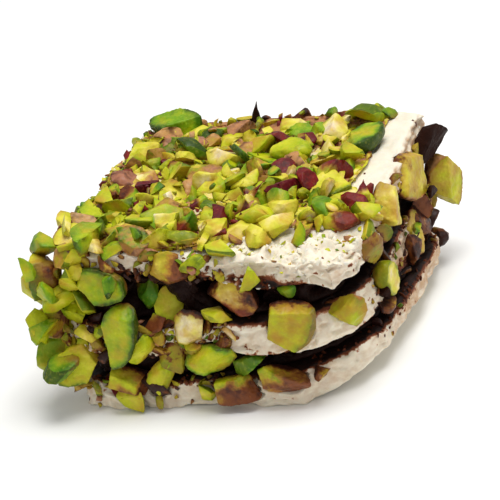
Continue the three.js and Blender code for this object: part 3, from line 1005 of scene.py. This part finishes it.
def scatter(shapes, counts, sizes, seed, gap, tilt, thin, sink, refuse, cover, paint, proud=1.6):
    """Throws fragments at each side of the block until counts[side] have stuck, and returns them.

    sizes are the least and greatest length, in mm. gap is the least distance between two, as a share of their
    size, tilt is how much they lean at random, thin is how flat they are, and sink is how deep they are
    pressed in. refuse is the chance of falling off again, by what was hit. cover says how thickly they lie at
    a point, and paint colours each. proud is how far the place that one lands on may stand out, in mm."""
    rng = random.Random(seed)
    laid = []
    taken = {}
    cell = sizes[1] * MM
    for side, count in counts.items():
        outward = SIDES[side][0]
        placed = tries = 0
        while placed < count and tries < count * THROWS_EACH:
            tries += 1
            start = start_over(side, rng.uniform(-SPREAD, SPREAD), rng.uniform(-SPREAD, SPREAD))
            hit = land(start, -(outward + 0.2 * random_vector(rng)).normalized())
            size = rng.triangular(sizes[0], sizes[1], sizes[0]) * MM
            if hit is None:
                continue
            point, normal, kind, _ = hit
            if normal.dot(outward) < -0.2 or point.z < LOWEST or rng.random() < refuse[kind]:
                continue
            if rng.random() > cover(side, point) or standing_out(point, outward) > proud:
                continue
            key = tuple(int(c // cell) for c in point)
            near = [other for i in (-1, 0, 1) for j in (-1, 0, 1) for k in (-1, 0, 1)
                    for other in taken.get((key[0] + i, key[1] + j, key[2] + k), [])]
            if any((point - place).length < gap * (size + other) / 2 for place, other in near):
                continue
            facing = ((normal + 0.8 * outward).normalized() + tilt * random_vector(rng)).normalized()
            shape = rng.choice(shapes)
            stretch = (rng.uniform(0.9, 1.15), rng.uniform(0.85, 1.2), rng.uniform(*thin))
            points = lay_down(shape, point, facing, rng.uniform(0, TAU), size, stretch, rng.uniform(*sink))
            beyond = np.maximum(sheets_low - points.min(0), points.max(0) - sheets_high)[:2].max()
            if points[:, 2].min() < TABLE_GAP or beyond > overhang(point):
                continue
            peak = Vector(points[(points @ np.array(outward)).argmax()])
            if headroom(side, point) < standing_out(peak, outward) < NOWHERE:
                continue
            taken.setdefault(key, []).append((point, size))
            laid.append((points, shape.triangles, shape.smooth, paint(rng, shape, side, point)))
            placed += 1
    return laid


def joined_piece(name, laid, layer_name, material):
    """One piece made of all the fragments laid, each with its points, triangles, smoothness and colours."""
    points, triangles, smooth, colours = zip(*laid)
    starts = np.cumsum([0] + [len(part) for part in points[:-1]])
    shifted = [part + start for part, start in zip(triangles, starts)]
    mesh = bpy.data.meshes.new(name)
    mesh.from_pydata(np.concatenate(points), [], np.concatenate(shifted))
    mesh.shade_smooth()
    mesh.polygons.foreach_set("use_smooth", np.concatenate(smooth))
    layer = mesh.color_attributes.new(layer_name, "FLOAT_COLOR", "CORNER")
    layer.data.foreach_set("color", np.concatenate([part.reshape(-1, 4) for part in colours]).ravel())
    return place_piece(mesh, material)


coarse_stock = chop_stock(seed=3, count=26, cuts=[4, 5, 6], reach=(0.2, 0.5), bevel=0.06, longest=0.3)
medium_stock = chop_stock(seed=4, count=20, cuts=[4, 5, 6], reach=(0.15, 0.42), bevel=0.05, longest=0.45)
fine_stock = chop_stock(seed=5, count=14, cuts=[3, 4, 5], reach=(0.15, 0.45), bevel=0, longest=0)
blocky_stock = sorted(coarse_stock, key=lambda shape: -np.ptp(shape.points, axis=0).prod())[:8]

# The most striking chips. Each has its side, its place from the middle of the block as shares of half its
# size, its length in mm, its turn in degrees, its tone and its coat.
CHOSEN_CHIPS = [
    ("top", -0.38, 0.48, 5.2, -20, 0.06, 0), ("top", -0.6, 0.65, 4.6, 40, 0.7, 0.1),
    ("top", 0.06, -0.5, 4.4, 20, 0.5, 0.97), ("top", -0.43, -0.38, 3.4, 70, 0.5, 0.8),
    ("top", 0.46, -0.11, 3.2, 50, 0.5, 0.82), ("top", 0.75, -0.28, 4.8, 120, 0.5, 0.8),
    ("top", 0.79, -0.12, 3.4, 90, 0.5, 0.78), ("top", 0.36, 0.62, 5.2, 5, 0.86, 0),
    ("top", 0.32, -0.68, 4.8, 30, 0.76, 0), ("top", 0.65, -0.4, 4.6, 60, 0.22, 0),
    ("top", -0.22, -0.54, 5.8, -60, 0.28, 0), ("top", 0.38, -0.38, 4.4, 10, 0.72, 0),
    ("top", 0.23, -0.17, 4.2, 70, 0.26, 0), ("top", 0.54, 0.84, 5.8, 10, 0.38, 0),
    ("top", -0.17, 0.66, 4.8, 40, 0.75, 0.3), ("top", 0.01, 0.52, 5.6, 5, 0.46, 0),
    ("top", 0.58, 0.27, 4.8, 20, 0.45, 0), ("top", -0.66, -0.3, 4.8, 55, 0.45, 0),
    ("top", -0.66, -0.63, 4.8, 15, 0.8, 0.06), ("top", 0.66, 0.86, 3.0, 10, 0.06, 0),
    ("top", 0.86, -0.59, 4.0, 40, 0.2, 0.72), ("top", -0.6, -0.02, 4.4, 30, 0.8, 0.5),
    ("top", -0.62, 0.58, 3.8, 60, 0.6, 0.3), ("front", -0.66, 0.86, 3.8, 0, 0.6, 0),
    ("front", -0.65, 0.7, 3.4, 10, 0.7, 0), ("front", -0.46, 0.6, 3.2, 40, 0.2, 0),
    ("front", -0.32, 0.38, 4.4, 120, 0.06, 0), ("front", -0.21, 0.17, 5.2, 80, 0.44, 0),
    ("front", 0.48, 0.38, 2.8, 0, 0.1, 0), ("front", 0.31, 0.58, 4.2, 265, 0.42, 0),
    ("front", 0.21, -0.46, 5.0, 60, 0.02, 0), ("front", -0.77, 0.2, 3.8, 0, 0.66, 0),
    ("front", -0.5, -0.86, 4.2, 0, 0.46, 0), ("front", -0.06, -0.8, 3.0, 70, 0.5, 0),
    ("front", -0.86, -0.82, 4.8, 30, 0.16, 0), ("front", -0.37, -0.24, 4.4, 15, 0.5, 0),
    ("front", 0.14, 0.84, 4.4, 200, 0.74, 0), ("front", -0.22, 0.92, 4.2, 30, 0.6, 0.4),
    ("front", -0.92, 0.0, 4.4, 70, 0.3, 0), ("right", -0.61, 0.77, 3.2, 20, 0.3, 0),
    ("right", 0.43, 0.06, 3.8, 30, 0.5, 0.6), ("front_left", 0, 0.5, 4.4, 30, 0.3, 0),
    ("front_left", -0.06, 0.05, 4.6, 80, 0.5, 0), ("front_left", 0.05, -0.35, 4.6, 60, 0.2, 0),
    ("front_left", 0.1, 0.62, 4.4, 10, 0.45, 0), ("front_left", 0.08, 0.3, 4.4, 50, 0.35, 0),
    ("front_left", -0.02, 0.78, 3.6, 90, 0.3, 0), ("front", -0.82, 0.4, 5.0, 20, 0.4, 0),
    ("front", -0.86, 0.26, 4.6, 70, 0.5, 0), ("left", 0.8, 0.4, 5.0, 40, 0.45, 0),
    ("left", 0.86, -0.2, 5.4, 80, 0.4, 0), ("front_left", -0.12, -0.16, 5.2, 20, 0.42, 0),
    ("left", 0.88, -0.4, 6.2, 50, 0.3, 0), ("top", -0.87, -0.78, 5.2, 60, 0.25, 0),
]

laid = []
rng = random.Random(31)
for side, along, rise, size, turn, tone, coat in CHOSEN_CHIPS:
    outward = SIDES[side][0]
    hit = land(start_over(side, along, rise), -outward)
    if hit is None:
        continue
    shape = rng.choice(blocky_stock)
    facing = (hit[1] + 1.2 * outward).normalized()
    points = lay_down(shape, hit[0], facing, math.radians(turn), size * MM, (1, 1, 0.95), 0.2)
    points[:, 2] += max(0.0, TABLE_GAP - points[:, 2].min())
    skin = 1 if coat else rng.choice([0.3, 1])
    laid.append((points, shape.triangles, shape.smooth, nut_colours(shape, tone, coat, skin, 0.1)))

laid += scatter(
    coarse_stock, {"top": 200, "front": 12, "right": 7, "back": 34, "left": 30}, sizes=(4.0, 6.6), seed=21,
    gap=0.66, tilt=0.25, thin=(0.8, 1.15), sink=(0.1, 0.4), refuse={"sheet": 0.0, "cream": 0.5, "nut": 0.8},
    cover=nut_cover, paint=paint_nut)
chunks = joined_piece("pistachio_chunks", laid, "nut", nut_material)
landing["nut"].append(joined_tree([chunks]))

laid = scatter(
    medium_stock, {"top": 240, "front": 62, "right": 14, "back": 50, "left": 50}, sizes=(2.2, 4.0), seed=22,
    gap=0.7, tilt=0.3, thin=(0.8, 1.15), sink=(0.1, 0.35), refuse={"sheet": 0.0, "cream": 0.5, "nut": 0.85},
    cover=nut_cover, paint=paint_nut)
chips = joined_piece("pistachio_pieces", laid, "nut", nut_material)
landing["nut"].append(joined_tree([chips]))

refuse = {"sheet": 0.0, "cream": 0.3, "nut": 0.95}
laid = scatter(
    fine_stock, {"top": 300, "front": 260, "right": 60, "back": 120, "left": 120}, sizes=(0.7, 1.8), seed=23,
    gap=0.6, tilt=0.4, thin=(0.7, 1.1), sink=(0.0, 0.4), refuse=refuse,
    cover=nut_cover, paint=paint_nut, proud=1.4)
laid += scatter(
    fine_stock, {"top": 45}, sizes=(0.5, 1.2), seed=26,
    gap=1.2, tilt=0.4, thin=(0.7, 1.1), sink=(0.1, 0.4), refuse=refuse,
    cover=lambda side, point: torn_share(point), paint=paint_nut, proud=1.4)
joined_piece("pistachio_crumbs", laid, "nut", nut_material)


# ---------------------------------------------------------------- nougat and cocoa crumbs
# Flakes of nougat that tore loose on the bare front corner, and crumbs of dried chocolate cream that stick
# along the cut edges. A few bigger flakes of the cream lie on the right-hand end, and a spike of it stands at
# the back.


def same_marks(numbers, triangles):
    """The same four numbers at every corner."""
    return np.tile(np.float32(numbers), triangles.shape + (1,))


def plain_paint(numbers):
    """A painter for scatter that gives every fragment the same numbers."""
    return lambda rng, shape, side, point: same_marks(numbers, shape.triangles)


def torn_cover(side, point):
    """How thickly torn flakes lie: on the bare corner, and down its front."""
    p = point / MM
    if side == "top":
        return torn_share(point)
    return soft((p.x - 1) / 3) * soft((p.z - 17.5) / 2)


def cocoa_cover(side, point):
    """How thickly cocoa crumbs lie: along the cream, in patches."""
    patchy = soft(0.5 + noise.noise(point / MM * 0.3 + Vector((7, 7, 7))))
    if side == "top":
        return patchy * (0.06 * (1 - torn_share(point)))
    return patchy * (1 - soft((cream_distance(point) - 0.3) / 2.2))


laid = scatter(
    fine_stock, {"top": 90, "front": 30, "right": 8}, sizes=(0.6, 1.6), seed=24,
    gap=0.5, tilt=0.5, thin=(0.6, 0.9), sink=(0.5, 0.8), refuse={"sheet": 0.0, "cream": 0.9, "nut": 0.95},
    cover=torn_cover, paint=plain_paint((0.1, 0.3, 0, 1)))
joined_piece("nougat_crumbs", laid, "marks", nougat_material)

laid = scatter(
    fine_stock, {"top": 110, "front": 320, "right": 220, "back": 150, "left": 150}, sizes=(0.35, 1.2),
    seed=25, gap=0.5, tilt=0.5, thin=(0.5, 0.9), sink=(0.3, 0.6),
    refuse={"sheet": 0.0, "cream": 0.6, "nut": 0.4}, cover=cocoa_cover, paint=plain_paint((1, 1, 1, 1)))
joined_piece("cocoa_crumbs", laid, "marks", cream_material)


def thorn(length, width, bend):
    """The points and triangles of a thin curved spike of cream, pulled up by the knife, its foot at 0."""
    bm = bmesh.new()
    bmesh.ops.create_cone(bm, cap_ends=True, segments=9, radius1=width / 2, radius2=0.04 * width,
                          depth=length)
    rising = [e for e in bm.edges if abs(e.verts[0].co.z - e.verts[1].co.z) > 0]
    bmesh.ops.subdivide_edges(bm, edges=rising, cuts=5)
    bmesh.ops.triangulate(bm, faces=bm.faces)
    for v in bm.verts:
        rise = v.co.z / length + 0.5
        v.co.x += bend * length * rise * rise + 0.12 * width * noise.noise(v.co / width * 1.5)
        v.co.z += length / 2
    return as_arrays(bm)


# The bigger flakes. Each has its side, its place from the middle of the block as shares of half its size, its
# length in mm, its turn in degrees, and how thick it is.
COCOA_FLAKES = [
    ("right", 0.74, 0.5, 6.2, 60, 1.3), ("right", 0.46, 0.2, 3.2, 20, 0.7),
    ("right", -0.1, 0.3, 3.4, 100, 0.7), ("front", 0.88, -0.1, 2.4, 30, 0.6),
]
FLAKE_MARKS = (0.1, 0.1, 0.1, 1)
THORN_LENGTH = 3.8 * MM
THORN_WIDTH = 1.7 * MM
THORN_SINK = 0.3 * MM

laid = []
rng = random.Random(77)
for side, along, rise, size, turn, thick in COCOA_FLAKES:
    outward = SIDES[side][0]
    hit = land(start_over(side, along, rise), -outward)
    if hit is None:
        continue
    shape = rng.choice(blocky_stock)
    points = lay_down(shape, hit[0], outward, math.radians(turn), size * MM, (1, 0.8, thick), 0.25)
    laid.append((points, shape.triangles, shape.smooth, same_marks(FLAKE_MARKS, shape.triangles)))
above = block_middle + Vector((-0.15 * block_half.x, 0.92 * block_half.y, THROW_FROM))
foot = land(above, Vector((0, 0, -1)))[0]
points, triangles = thorn(THORN_LENGTH, THORN_WIDTH, 0.16)
points = points + np.array(foot) - np.array((0, 0, THORN_SINK))
laid.append((points, triangles, np.ones(len(triangles), dtype=bool), same_marks(FLAKE_MARKS, triangles)))
joined_piece("cocoa_flakes", laid, "marks", cream_material)
